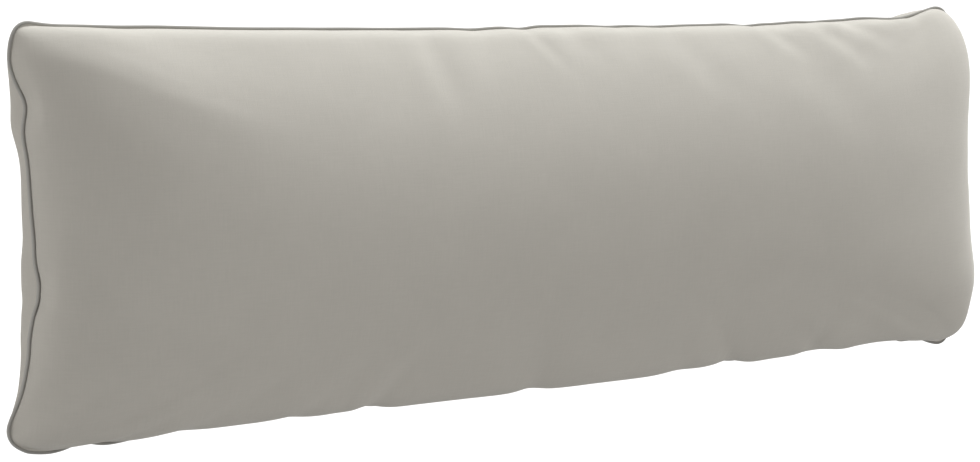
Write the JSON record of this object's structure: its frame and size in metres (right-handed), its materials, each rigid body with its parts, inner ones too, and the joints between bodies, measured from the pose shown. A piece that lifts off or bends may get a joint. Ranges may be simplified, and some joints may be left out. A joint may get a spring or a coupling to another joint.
{
  "type": "backrest cushion",
  "caption": "Long knife-edge backrest cushion in plain woven cloth, filled to a soft crown, with drawn-in sides and self piping round the seam; lies flat on its back.",
  "frame": {"origin": "under the middle of the cushion's box, on the surface that its back lies on", "axes": "+X along the cushion's length, +Y up its face towards the top edge, +Z out of its face"},
  "size_m": [1.5158, 0.5028, 0.203],
  "materials": {
    "cover_cloth": "smooth matt upholstery cloth, light warm grey",
    "piping_cloth": "the same cloth wrapped round a thin cord"
  },
  "bodies": {
    "root": {"cushion": "cover_cloth", "piping": "piping_cloth"}
  },
  "joints": []
}
